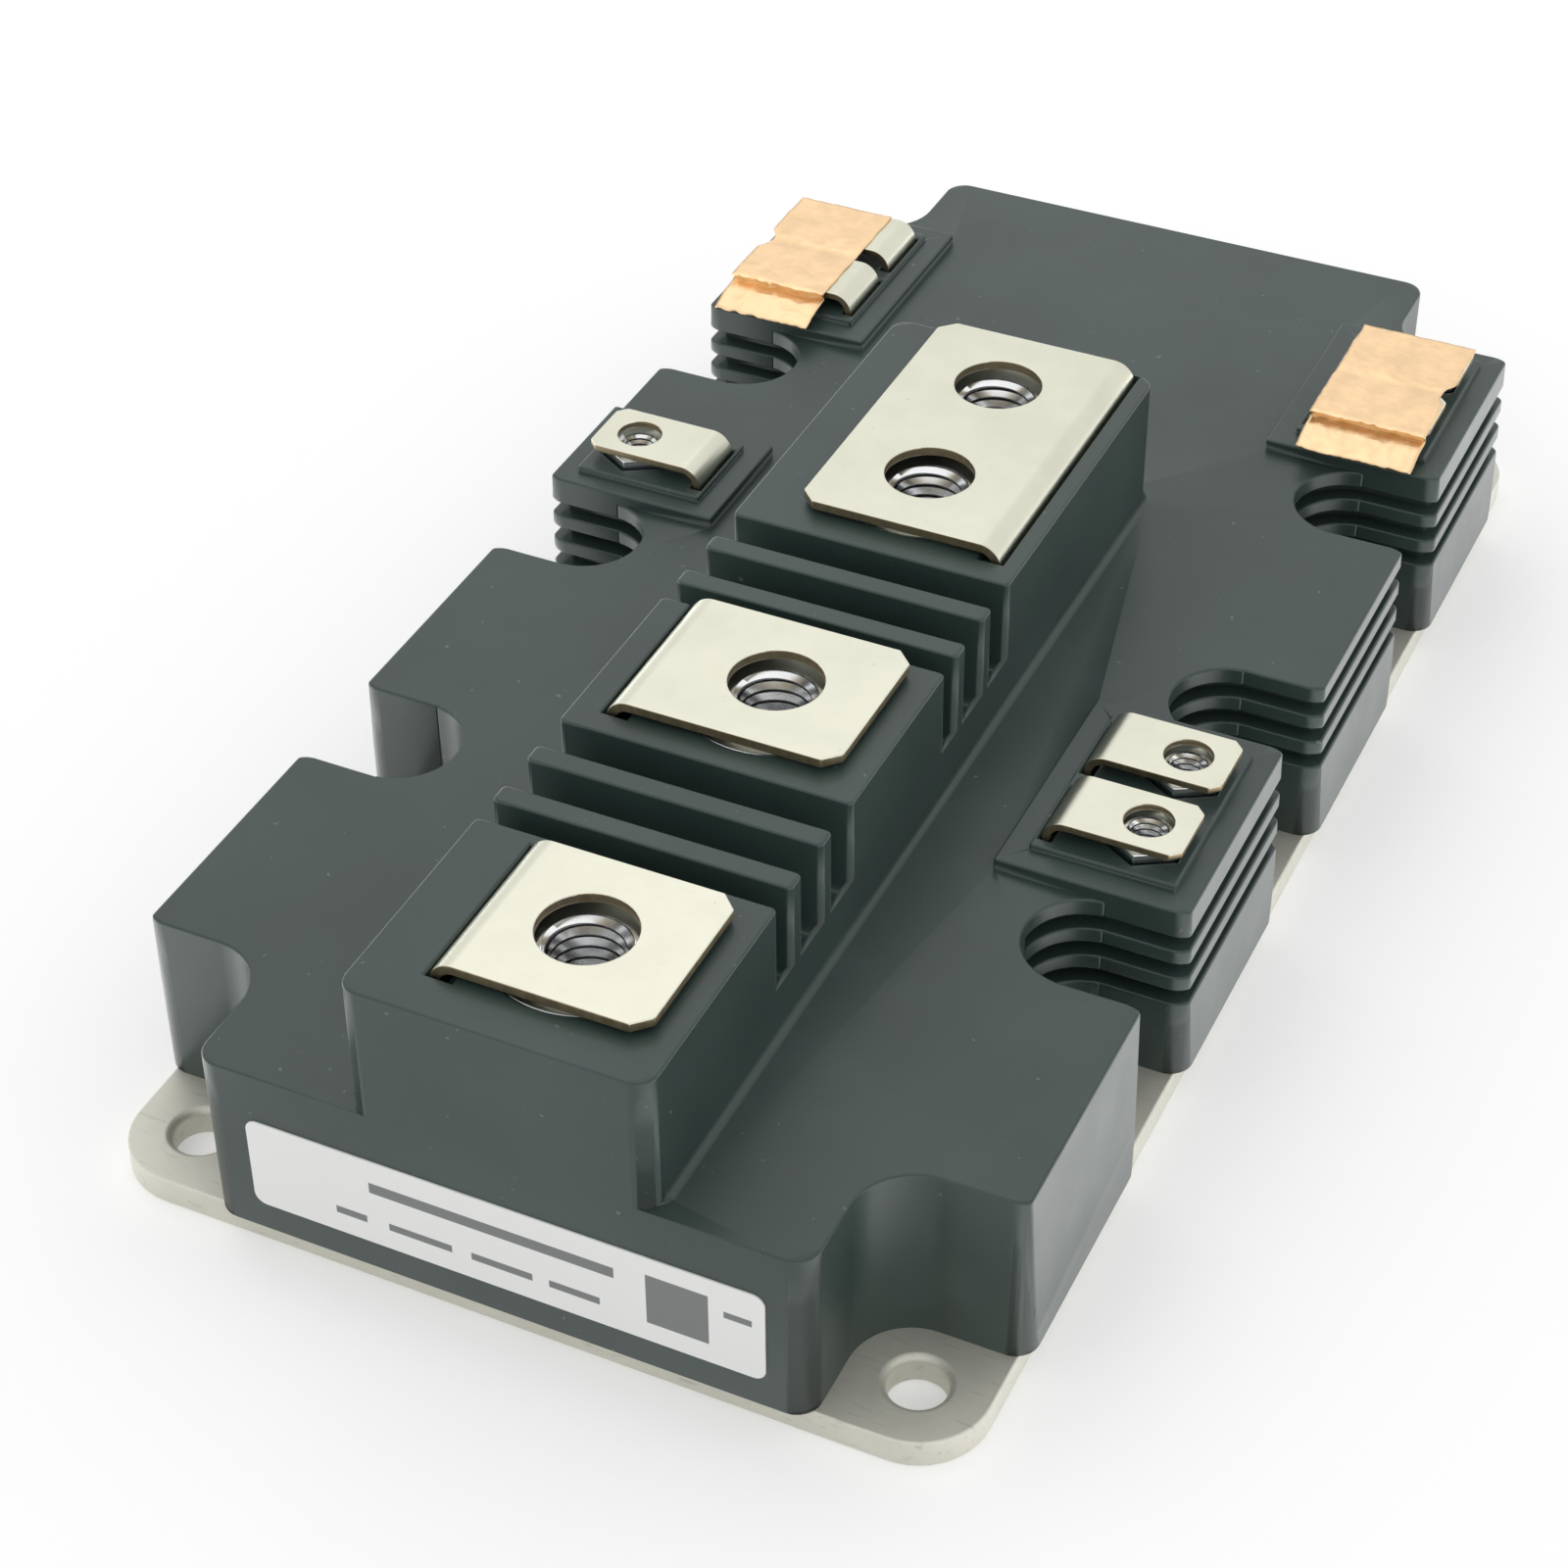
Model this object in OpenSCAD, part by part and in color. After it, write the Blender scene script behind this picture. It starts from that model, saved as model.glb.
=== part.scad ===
// Half-bridge IGBT power module: a nickel-plated base plate, a moulded housing with
// a finned terminal ridge, bolted main terminals, and small control terminals on the
// side blocks. Millimetres, +Z up, origin at the middle of the plate's underside,
// label end towards -Y.

/* [Housing] */
// Length of the housing
housing_l = 172; // [170:0.5:176]
// Width of the housing at its foot
housing_w = 89; // [88:0.5:94]
// Height of the deck above the underside of the plate
deck_z = 22; // [20.5:0.1:23]
// Wall thickness of the hollow housing
wall_t = 3.2; // [2.8:0.1:3.4]
// Thickness of the deck over the cavity
roof_t = 2.7; // [2:0.1:3.5]
// How far each long side leans in from foot to deck
draft = 0.8; // [0.2:0.1:1.2]
// Radius of the outer upright corners
corner_r = 2.4; // [1:0.1:3]

/* [Screw recesses] */
// Distance between the two columns of mounting holes
hole_pitch_x = 73; // [71:0.5:75]
// Distance between neighbouring mounting holes along the module
hole_pitch_y = 39; // [38:0.5:40]
// Diameter of the mounting holes
hole_d = 5.5; // [5:0.1:6]
// Width of the chamfer round each mounting hole
hole_chamfer = 0.5; // [0.2:0.1:1]
// Radius of the screw recesses in the housing
recess_r = 6; // [5.5:0.1:6.5]
// How far the recess arc lies inboard of its screw
recess_back = 0.5; // [0:0.1:1.5]

/* [Base plate] */
// Thickness of the base plate
plate_t = 3; // [2.5:0.1:4]
// Margin from the corner holes to the plate's edges, and its corner radius
plate_margin = 6.9; // [5.5:0.1:7.4]

/* [Creepage grooves] */
// Number of grooves, one above the other
groove_n = 3; // [1:1:3]
// Height of one groove
groove_h = 1.6; // [1:0.1:2]
// Distance between neighbouring grooves
groove_pitch = 3.3; // [2.8:0.1:3.6]
// Depth of the grooves in the upright walls
groove_depth = 1.9; // [1.2:0.1:2.1]
// Distance from the deck to the middle of the top groove
groove_drop = 2.7; // [2.4:0.1:3.2]

/* [Terminal ridge] */
// Height of the ridge top above the underside of the plate
ridge_z = 36.5; // [36:0.5:39]
// Width of the ridge
ridge_w = 29.6; // [29:0.2:32]
// Offset of the ridge to the right of the middle
ridge_x = 0.8; // [0:0.1:1]
// Length of the near block
near_block_l = 24.6; // [24:0.2:26]
// Length of the middle block
mid_block_l = 21.3; // [21:0.1:23]
// Length of the far block
far_block_l = 40.8; // [40.4:0.2:43]
// Thickness of the creepage fins
fin_t = 2.35; // [1.8:0.05:2.6]
// Gap between a block and the fin behind it
first_gap = 2.7; // [2.2:0.1:3.4]
// Gap between two fins, and between a fin and the next block
fin_gap = 4; // [3.4:0.1:4.4]
// Height of the gap floors above the deck
gap_floor = 5.3; // [3:0.1:8]
// Radius of the ridge's end corners
ridge_r = 2; // [0.8:0.1:2.4]
// Radius of the upright edges at the gaps
fin_r = 0.6; // [0.2:0.1:0.8]
// Chamfer along the foot of the ridge
foot_chamfer = 0.9; // [0.4:0.1:1.4]

/* [Main terminals] */
// Sheet thickness of the main terminals
main_t = 1; // [0.8:0.1:1.2]
// Gap between the ridge top and the terminal above it
main_gap = 0.5; // [0.3:0.1:0.8]
// Inner bend radius of the main terminals
main_bend_r = 1.4; // [0.8:0.1:2]
// Diameter of the bolt holes in the main terminals
main_hole_d = 9.1; // [8.8:0.1:9.6]
// Sideways place of the near bolt
near_bolt_x = 2.8; // [1.5:0.1:3.2]
// Sideways place of the middle bolt
mid_bolt_x = 2.5; // [1.5:0.1:3]
// Sideways place of the two far bolts
far_bolt_x = 1.8; // [1:0.1:2.5]
// Distance from the front face to the near bolt
near_bolt_y = 13.9; // [13.4:0.1:14.4]
// Distance from the middle block's near face to its bolt
mid_bolt_y = 12; // [11.4:0.1:12]
// Distance from the far block's near face to its first bolt
far_bolt_y = 12.8; // [12.4:0.1:13.4]
// Distance between the two bolts of the far terminal
far_pitch = 18; // [17.4:0.1:18]
// Distance from the bolts to the free edge of each main terminal
free_l = 10.2; // [9.6:0.1:10.6]
// Distance from the near bolt to the outside of its terminal's bend
near_back = 10.4; // [10.3:0.1:10.8]
// Distance from the middle bolt to the outside of its terminal's bend
mid_back = 13.2; // [13.2:0.1:13.6]
// Distance from the far bolts to the outside of their terminal's bend
far_back = 11.7; // [11:0.1:12.2]
// Distance from the bolt to the side edges of the near and middle terminals
main_margin = 9.05; // [8.6:0.05:9.2]
// Distance from the far bolts to the side edges of their terminal
far_margin = 9.5; // [9:0.1:9.8]
// Corner cut at the free edge of the main terminals
main_cut = 1.6; // [0.6:0.1:2.4]

/* [Nuts] */
// Width across flats of the M8 nuts
m8_af = 13; // [12.6:0.1:13]
// Height of the M8 nuts
m8_h = 8; // [6:0.1:8]
// Diameter of the flange of the M8 nuts
m8_flange_d = 17.9; // [16:0.1:18]
// Thickness of the flange of the M8 nuts
m8_flange_t = 1.6; // [1:0.1:2]
// Bore of the M8 nuts, at the thread's crests
m8_bore_d = 6.8; // [6.6:0.05:7]
// Width across flats of the M4 nuts
m4_af = 7; // [6.6:0.1:7]
// Height of the M4 nuts
m4_h = 3.2; // [2.6:0.1:3.2]
// Bore of the M4 nuts, at the thread's crests
m4_bore_d = 3.3; // [3.2:0.05:3.4]
// Clearance of a nut in its pocket, all round
nut_clear = 0.2; // [0.1:0.05:0.25]
// How far the nuts lie below the terminal over them
nut_drop = 0.8; // [0.6:0.1:1]
// Depth of the blind bore under each M8 nut
bolt_depth = 5; // [3:0.5:6]
// Diameter of the blind bore under each M8 nut
bolt_bore_d = 9; // [8.4:0.1:10]

/* [Side platforms] */
// Distance from the middle to the inner edge of the platforms
platform_x = 24.2; // [23.6:0.1:25]
// Height of the platforms above the deck
platform_h = 1.3; // [0.8:0.1:1.8]
// Length of the platform with the single terminal
single_l = 15.6; // [15:0.1:17]
// Height of the pads above the platforms
pad_h = 0.7; // [0.3:0.1:1]
// Width of the pads
pad_w = 14.6; // [14.2:0.1:15]
// Length of the pads under two terminals
pad_l = 21.8; // [21:0.1:22.4]
// Length of the pad under the single terminal
single_pad_l = 11.4; // [11:0.1:12]
// Distance from the middle to the centre line of the pads
pad_x = 34; // [33.8:0.1:34.2]

/* [Control terminals] */
// Sheet thickness of the control terminals
aux_t = 0.8; // [0.6:0.05:0.9]
// Width of the control terminals
aux_w = 8; // [7:0.1:8.2]
// Height of the control terminals' top above the deck
aux_rise = 4.1; // [4:0.1:5]
// Distance from the middle to the holes of the control terminals
aux_x = 36.5; // [36.2:0.1:36.8]
// Distance between the two holes on a long platform
aux_pitch = 10.8; // [10.4:0.1:11]
// Diameter of the holes in the control terminals
aux_hole_d = 4.8; // [4.4:0.1:5.2]
// Distance from the hole to the free edge of a control terminal
aux_free_l = 4.4; // [4:0.1:5]
// Distance from the hole to the back of the leg
aux_back = 9.1; // [8.8:0.1:9.2]
// Inner bend radius of the control terminals
aux_bend_r = 1.4; // [0.8:0.1:1.8]
// Corner cut at the free edge of the control terminals
aux_cut = 1; // [0.4:0.1:1.4]
// Length of the foot of a control terminal on its track
aux_foot_l = 2.4; // [1.8:0.1:2.5]

/* [Shorting foils] */
// Thickness of the copper foil
foil_t = 0.15; // [0.1:0.05:0.3]
// Width of the left foil
left_foil_w = 10.1; // [9.6:0.1:10.6]
// Width of the right foil
right_foil_w = 11; // [10:0.1:11.4]
// Distance from the middle to the left foil's outer edge
left_foil_x = 42.1; // [41.4:0.1:42.4]
// Distance from the middle to the right foil's outer edge
right_foil_x = 39.9; // [39.4:0.1:40.4]
// How far the foil reaches beyond the middle of the block, away from the label end
foil_far = 8.2; // [7:0.1:9]
// Distance from the middle of the block to the foil's fold
foil_fold = 10.3; // [10:0.1:11]
// Length of the flap beyond the fold
foil_flap = 4.6; // [3.8:0.1:5]

/* [Label] */
// Length of the label
label_l = 50.9; // [40:0.5:56]
// Height of the label
label_h = 10.3; // [6:0.1:12]
// Thickness of the label
label_t = 0.15; // [0.1:0.05:0.3]
// Sideways place of the label's middle
label_x = 0.4; // [0:0.1:1]
// Height of the label's middle above the underside of the plate
label_z = 11.45; // [9.5:0.05:13]
// Corner radius of the label
label_r = 1.2; // [0.4:0.1:2]

/* [Circuit] */
// Room between the first substrate and the near wall
near_room = 2.8; // [2.4:0.1:3.2]
// Room between the last substrate and the far wall
far_room = 12.8; // [12:0.1:14]
// Room between the substrates and the recess walls beside them
side_room = 0.3; // [0.2:0.1:0.6]
// Thickness of the ceramic
ceramic_t = 1; // [0.6:0.1:1.2]
// Thickness of the copper tracks
track_t = 0.4; // [0.3:0.05:0.5]
// Gap between neighbouring substrates
substrate_gap = 3; // [2:0.5:3]
// Width of the signal tracks along the substrate's edges
signal_w = 2.6; // [2.4:0.1:2.8]
// Margin of bare ceramic round the tracks
bare_margin = 0.6; // [0.4:0.1:0.8]
// Gap between neighbouring tracks
track_gap = 1.2; // [1:0.1:1.4]
// Side of the square IGBT chips
igbt_side = 9.6; // [8:0.1:9.8]
// Side of the square diode chips
diode_side = 8; // [6:0.1:8.4]
// Thickness of the chips
chip_t = 0.3; // [0.2:0.05:0.4]
// Distance of the chips from the substrate's middle, along the module
chip_y = 12; // [11:0.5:14]
// Diameter of the bond wires
wire_d = 0.4; // [0.3:0.05:0.5]
// Radius of a bond wire's loop
wire_loop_r = 1.6; // [1.4:0.1:1.7]
// Distance between neighbouring bond wires
wire_pitch = 2.2; // [1.6:0.1:2.6]

/* [Busbars] */
// Height of the busbars' lower edge above the plate
bus_rise = 5; // [4:0.1:6]
// Height of the busbars
bus_h = 8; // [6:0.5:9]
// Width of a busbar foot
foot_w = 4; // [3:0.5:6]
// Length of a busbar foot
foot_l = 3.8; // [3:0.1:4.2]
// Thickness of the insulating sheet between the two supply busbars
insulator_t = 0.5; // [0.3:0.1:0.8]
// Clearance of the terminals' legs in the housing, all round
leg_clear = 0.25; // [0.1:0.05:0.25]
// Thickness of the silicone gel over the circuit
gel_h = 1; // [0.5:0.1:1.4]

/* [Hidden] */
$fn = 64;
cut = 1;             // how far a cutter reaches past a face
hole_rows = 5;
substrate_n = 3;
far_x = housing_w;   // beyond the housing sideways

front_y = -housing_l / 2;
recess_x = hole_pitch_x / 2 - recess_back;
plate_w = hole_pitch_x + 2 * plate_margin;
plate_l = (hole_rows - 1) * hole_pitch_y + 2 * plate_margin;
draft_angle = atan(draft / (deck_z - plate_t));
cavity_z = deck_z - roof_t;

// The ridge is a chain of blocks and fins that starts at the front face.
fin_step = fin_t + fin_gap;
near_end = front_y + near_block_l;
near_fins = near_end + first_gap;
mid_start = near_fins + 2 * fin_step;
mid_end = mid_start + mid_block_l;
mid_fins = mid_end + first_gap;
far_start = mid_fins + 2 * fin_step;
far_end = far_start + far_block_l;
ridge_left = ridge_x - ridge_w / 2;

near_y = front_y + near_bolt_y;
mid_y = mid_start + mid_bolt_y;
far_y = far_start + far_bolt_y;
bolts = [
    [near_bolt_x, near_y],
    [mid_bolt_x, mid_y],
    [far_bolt_x, far_y],
    [far_bolt_x, far_y + far_pitch]
];
main_top = ridge_z + main_gap + main_t;
main_outer_r = main_bend_r + main_t;
m8_top = main_top - main_t - nut_drop;

platform_z = deck_z + platform_h;
pad_z = platform_z + pad_h;
aux_top = deck_z + aux_rise;
aux_outer_r = aux_bend_r + aux_t;
m4_top = aux_top - aux_t - nut_drop / 2;
near_right_y = block_y(1);
far_block_y = block_y(3);
single_y = row_y(2) + recess_r + single_l / 2;
// One entry for each control terminal: side, place along the module.
aux_places = [
    [1, near_right_y - aux_pitch / 2],
    [1, near_right_y + aux_pitch / 2],
    [-1, single_y],
    [-1, far_block_y - aux_pitch / 2],
    [-1, far_block_y + aux_pitch / 2],
    [1, far_block_y - aux_pitch / 2],
    [1, far_block_y + aux_pitch / 2]
];

// The substrates share the room between the end walls and between the screw recesses.
substrate_l = (housing_l - 2 * wall_t - near_room - far_room
    - (substrate_n - 1) * substrate_gap) / substrate_n;
substrate_w = 2 * (recess_x - recess_r - wall_t - side_room);
ceramic_z = plate_t + ceramic_t;
track_z = ceramic_z + track_t;
chip_z = track_z + chip_t;
signal_x = substrate_w / 2 - bare_margin - signal_w;
power_x = signal_x - track_gap;
near_bus_x = near_bolt_x - near_back;
mid_bus_x = mid_bolt_x - mid_back;
far_bus_x = far_bolt_x + far_back;
// The three power tracks: left, middle and right, each as its two edges.
left_track = [-power_x, mid_bus_x - track_gap];
middle_track = [mid_bus_x + main_t + track_gap / 3, far_bus_x - main_t - 2 * track_gap - foot_l];
right_track = [middle_track[1] + track_gap, power_x];
wire_z = chip_z + wire_loop_r + wire_d / 2;
bus_z = plate_t + bus_rise;

// Place of row i of the mounting holes, counted from the label end.
function row_y(i) = (i - (hole_rows - 1) / 2) * hole_pitch_y;

// Middle of the side block between rows i and i + 1.
function block_y(i) = (row_y(i) + row_y(i + 1)) / 2;

// Middle of substrate i, counted from 1 at the label end.
function substrate_y(i) = front_y + wall_t + near_room + substrate_l / 2
    + (i - 1) * (substrate_l + substrate_gap);

// Middle of a track given by its two edges.
function middle(track) = (track[0] + track[1]) / 2;

// Rounds the convex corner at [x, y] of a shape that lies towards dx, dy.
module corner_cut(x, y, dx, dy, r) {
    translate([x, y]) mirror([dx < 0 ? 1 : 0, 0]) mirror([0, dy < 0 ? 1 : 0]) difference() {
        translate([-cut, -cut]) square(r + cut);
        translate([r, r]) circle(r);
    }
}

// Rectangle from [x0, y0] to [x1, y1] with near corners r0 and far corners r1.
module rounded_rect(x0, y0, x1, y1, r0, r1) {
    difference() {
        translate([x0, y0]) square([x1 - x0, y1 - y0]);
        corner_cut(x0, y0, 1, 1, r0);
        corner_cut(x1, y0, -1, 1, r0);
        corner_cut(x0, y1, 1, -1, r1);
        corner_cut(x1, y1, -1, -1, r1);
    }
}

// A flat bar from [x0, y0, z0] to [x1, y1, z1].
module bar(x0, x1, y0, y1, z0, z1) {
    translate([x0, y0, z0]) cube([x1 - x0, y1 - y0, z1 - z0]);
}

// Plan of the housing, drawn in by an inset that the recess arcs follow.
module outline(inset = 0) {
    half_w = housing_w / 2 - inset;
    half_l = housing_l / 2 - inset;
    arc_r = recess_r + inset;
    edge_r = corner_r - inset;
    end_y = row_y(hole_rows - 1);
    difference() {
        square([2 * half_w, 2 * half_l], center = true);
        for (side = [-1, 1]) {
            for (i = [1 : hole_rows - 2]) {
                translate([side * recess_x, row_y(i)]) circle(arc_r);
                translate([side * (recess_x + half_w) / 2, row_y(i)])
                    square([half_w - recess_x + cut, 2 * arc_r], center = true);
                if (edge_r > 0) for (face = [-1, 1])
                    corner_cut(side * half_w, row_y(i) + face * arc_r, -side, face, edge_r);
            }
            for (end = [-1, 1]) {
                translate([side * recess_x, end * end_y]) circle(arc_r);
                corner_pocket(side, end, recess_x - arc_r, end_y);
                corner_pocket(side, end, recess_x, end_y - arc_r);
                if (edge_r > 0) {
                    corner_cut(side * half_w, end * (end_y - arc_r), -side, -end, edge_r);
                    corner_cut(side * (recess_x - arc_r), end * half_l, -side, -end, edge_r);
                }
            }
        }
    }
}

// Everything beyond [x, y] in one corner of the plan.
module corner_pocket(side, end, x, y) {
    mirror([side < 0 ? 1 : 0, 0]) mirror([0, end < 0 ? 1 : 0])
        translate([x, y]) square([far_x, housing_l]);
}

// Nickel-plated plate with ten chamfered mounting holes.
module base_plate() {
    half_w = plate_w / 2;
    half_l = plate_l / 2;
    color("#cfc9b8") difference() {
        linear_extrude(plate_t)
            rounded_rect(-half_w, -half_l, half_w, half_l, plate_margin, plate_margin);
        for (side = [-1, 1], i = [0 : hole_rows - 1])
            translate([side * hole_pitch_x / 2, row_y(i), 0]) {
                translate([0, 0, -cut]) cylinder(d = hole_d, h = plate_t + 2 * cut);
                translate([0, 0, plate_t - hole_chamfer])
                    cylinder(d1 = hole_d, d2 = hole_d + 2 * hole_chamfer, h = hole_chamfer);
                translate([0, 0, plate_t])
                    cylinder(d = hole_d + 2 * hole_chamfer, h = cut);
            }
    }
}

// The moulded housing: side blocks, platforms, grooves and the finned ridge.
module housing() {
    color("#2c3231") difference() {
        union() {
            translate([0, 0, plate_t]) linear_extrude(deck_z - plate_t) outline();
            platforms();
            ridge();
        }
        translate([0, 0, plate_t - cut]) linear_extrude(cavity_z - plate_t + cut) outline(wall_t);
        for (side = [-1, 1]) draft_cut(side);
        creepage_grooves();
        for (bolt = bolts) m8_pocket(bolt);
        leg_slot(near_bus_x, 1, near_y - main_margin, near_y + main_margin);
        leg_slot(mid_bus_x, 1, mid_y - main_margin, mid_y + main_margin);
        leg_slot(far_bus_x, -1, far_y - far_margin, far_y + far_pitch + far_margin);
        for (place = aux_places) aux_cutout(place[0], place[1]);
    }
}

// Raised platforms on the side blocks, each with a pad.
module platforms() {
    far_half = (hole_pitch_y - 2 * recess_r) / 2;
    platform(1, near_right_y, 2 * far_half, pad_l);
    platform(1, far_block_y, 2 * far_half, pad_l);
    platform(-1, far_block_y, 2 * far_half, pad_l);
    platform(-1, single_y, single_l, single_pad_l);
}

module platform(side, y, length, pad_length) {
    translate([0, 0, deck_z - cut]) linear_extrude(platform_h + cut) intersection() {
        outline();
        translate([side * (platform_x + far_x / 2), y]) square([far_x, length], center = true);
    }
    translate([side * pad_x - pad_w / 2, y - pad_length / 2, platform_z])
        cube([pad_w, pad_length, pad_h]);
}

// The leaning cut that drafts one long side.
module draft_cut(side) {
    translate([side * housing_w / 2, 0, plate_t]) rotate([0, -side * draft_angle, 0])
        translate([side > 0 ? 0 : -far_x, -housing_l, -deck_z])
            cube([far_x, 2 * housing_l, 3 * deck_z]);
}

// Grooves along the walls beside the control terminals, round the recesses between.
module creepage_grooves() {
    far_y = row_y(hole_rows - 1);
    top_z = deck_z - groove_drop;
    for (i = [0 : groove_n - 1])
        translate([0, 0, top_z - i * groove_pitch - groove_h / 2])
            linear_extrude(groove_h) difference() {
                union() {
                    groove_run(1, row_y(1), far_y);
                    groove_run(-1, row_y(2), far_y);
                }
                outline(groove_depth);
            }
}

module groove_run(side, y0, y1) {
    mirror([side < 0 ? 1 : 0, 0])
        translate([platform_x, y0]) square([housing_w / 2 - platform_x + cut, y1 - y0]);
}

// The ridge: a low bar, three terminal blocks and two pairs of fins.
module ridge() {
    ridge_part(front_y, far_end, deck_z + gap_floor, ridge_r, ridge_r);
    ridge_part(front_y, near_end, ridge_z, ridge_r, fin_r);
    ridge_part(mid_start, mid_end, ridge_z, fin_r, fin_r);
    ridge_part(far_start, far_end, ridge_z, fin_r, ridge_r);
    for (start = [near_fins, mid_fins], i = [0, 1])
        ridge_part(start + i * fin_step, start + i * fin_step + fin_t, ridge_z, fin_r, fin_r);
    ridge_foot();
}

module ridge_part(y0, y1, top, r0, r1) {
    translate([0, 0, deck_z - cut]) linear_extrude(top - deck_z + cut)
        rounded_rect(ridge_left, y0, ridge_left + ridge_w, y1, r0, r1);
}

// Chamfer between the deck and the ridge, round both sides and the far end.
module ridge_foot() {
    run = far_end - ridge_r - front_y;
    for (side = [-1, 1]) {
        translate([ridge_x + side * ridge_w / 2, front_y + run, deck_z])
            rotate([90, 0, 0]) mirror([side < 0 ? 1 : 0, 0, 0]) linear_extrude(run - ridge_r)
                polygon([[-cut, 0], [foot_chamfer, 0], [0, foot_chamfer], [-cut, foot_chamfer]]);
        translate([ridge_x + side * (ridge_w / 2 - ridge_r), far_end - ridge_r, deck_z])
            cylinder(r1 = ridge_r + foot_chamfer, r2 = ridge_r, h = foot_chamfer);
    }
    translate([ridge_left + ridge_r, far_end, deck_z])
        rotate([90, 0, 90]) linear_extrude(ridge_w - 2 * ridge_r)
            polygon([[-cut, 0], [foot_chamfer, 0], [0, foot_chamfer], [-cut, foot_chamfer]]);
}

// Pocket for one M8 flange nut, with the blind bore that takes the bolt's end.
module m8_pocket(place) {
    depth = m8_top - m8_h;
    translate([place[0], place[1], 0]) {
        translate([0, 0, depth]) hexagon(m8_af + 2 * nut_clear, ridge_z - depth + cut);
        translate([0, 0, m8_top - m8_flange_t - nut_clear])
            cylinder(d = m8_flange_d + 2 * nut_clear, h = ridge_z);
        translate([0, 0, depth - bolt_depth]) cylinder(d = bolt_bore_d, h = bolt_depth + cut);
    }
}

// Upright slot for a main terminal's leg, from the ridge top into the cavity, with
// a wider mouth under the bend. The leg's back is at x and the bend turns inward.
module leg_slot(x, inward, y0, y1) {
    near = y0 - leg_clear;
    far = y1 + leg_clear;
    translate([x, 0, 0]) mirror([inward < 0 ? 1 : 0, 0, 0]) {
        bar(-leg_clear, main_t + leg_clear, near, far, plate_t, ridge_z + cut);
        bar(-leg_clear, main_outer_r, near, far, main_top - main_outer_r - leg_clear, ridge_z + cut);
    }
}

// Slot for a control terminal's leg, and the pocket for its nut.
module aux_cutout(side, y) {
    half = aux_w / 2 + leg_clear;
    mirror([side < 0 ? 1 : 0, 0, 0]) {
        bar(aux_x - aux_back - leg_clear, aux_x - aux_back + aux_t + leg_clear,
            y - half, y + half, plate_t, pad_z + cut);
        translate([aux_x, y, m4_top - m4_h]) hexagon(m4_af + 2 * nut_clear, m4_h + cut);
    }
}

// Hexagonal prism with flats facing the module's sides.
module hexagon(af, height) {
    rotate([0, 0, 30]) cylinder(d = af / cos(30), h = height, $fn = 6);
}

// Four flange nuts, flange up under the main terminals.
module m8_nuts() {
    lead = 0.6;
    color("#d9dadb") for (place = bolts)
        translate([place[0], place[1], m8_top - m8_h]) difference() {
            union() {
                hexagon(m8_af, m8_h);
                translate([0, 0, m8_h - m8_flange_t]) cylinder(d = m8_flange_d, h = m8_flange_t);
            }
            nut_bore(m8_bore_d, m8_h, lead);
        }
}

// Seven hexagon nuts in the pads.
module m4_nuts() {
    lead = 0.35;
    color("#d9dadb") for (place = aux_places)
        translate([place[0] * aux_x, place[1], m4_top - m4_h]) difference() {
            hexagon(m4_af, m4_h);
            nut_bore(m4_bore_d, m4_h, lead);
        }
}

// Bore of a nut with a lead-in cone at both ends.
module nut_bore(bore, height, lead) {
    translate([0, 0, -cut]) cylinder(d = bore, h = height + 2 * cut);
    cylinder(d1 = bore + 2 * lead, d2 = bore, h = lead);
    translate([0, 0, height - lead]) cylinder(d1 = bore, d2 = bore + 2 * lead, h = lead);
}

// Bent sheet: flat from the free edge to the bend, then a leg down to z0.
// It lies towards +X from the back of its leg at x = 0, between y0 and y1.
module bent_sheet(reach, y0, y1, top, z0, thick, outer_r) {
    translate([0, y1, 0]) rotate([90, 0, 0]) linear_extrude(y1 - y0) {
        translate([outer_r, top - thick]) square([reach - outer_r, thick]);
        translate([0, z0]) square([thick, top - outer_r - z0]);
        translate([outer_r, top - outer_r]) intersection() {
            difference() {
                circle(outer_r);
                circle(outer_r - thick);
            }
            translate([-outer_r, 0]) square(outer_r);
        }
    }
}

// 45 degree cuts at the two free corners of a sheet that ends at x.
module free_corner_cuts(x, y0, y1, size, top) {
    for (y = [y0, y1])
        translate([x, y, top - size]) rotate([0, 0, 45])
            cube([size * sqrt(2), size * sqrt(2), 4 * size], center = true);
}

// One main terminal, drawn with its bend at the left: x is the back of its leg,
// foot_side says to which side of the leg its feet turn.
module main_terminal(x, reach, y0, y1, holes, foot_side) {
    color("#d8d2b4") difference() {
        translate([x, 0, 0]) {
            bent_sheet(reach, y0, y1, main_top, bus_z, main_t, main_outer_r);
            bus_and_feet(min(y0, substrate_y(1) - foot_w / 2), foot_side);
        }
        for (hole = holes)
            translate([hole[0], hole[1], ridge_z]) cylinder(d = main_hole_d, h = main_top);
        free_corner_cuts(x + reach, y0, y1, main_cut, main_top);
    }
}

// Upright busbar inside the housing, with a foot on each substrate.
module bus_and_feet(y0, foot_side) {
    last_y = substrate_y(substrate_n) + foot_w / 2;
    foot_x = foot_side > 0 ? 0 : -foot_l;
    bar(0, main_t, y0, last_y, bus_z, bus_z + bus_h);
    for (i = [1 : substrate_n])
        translate([0, substrate_y(i) - foot_w / 2, track_z]) {
            cube([main_t, foot_w, bus_z - track_z]);
            translate([foot_x, 0, 0]) cube([foot_l + main_t, foot_w, main_t]);
        }
}

module near_terminal() {
    main_terminal(near_bus_x, near_back + free_l, near_y - main_margin, near_y + main_margin,
        [bolts[0]], 1);
}

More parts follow.
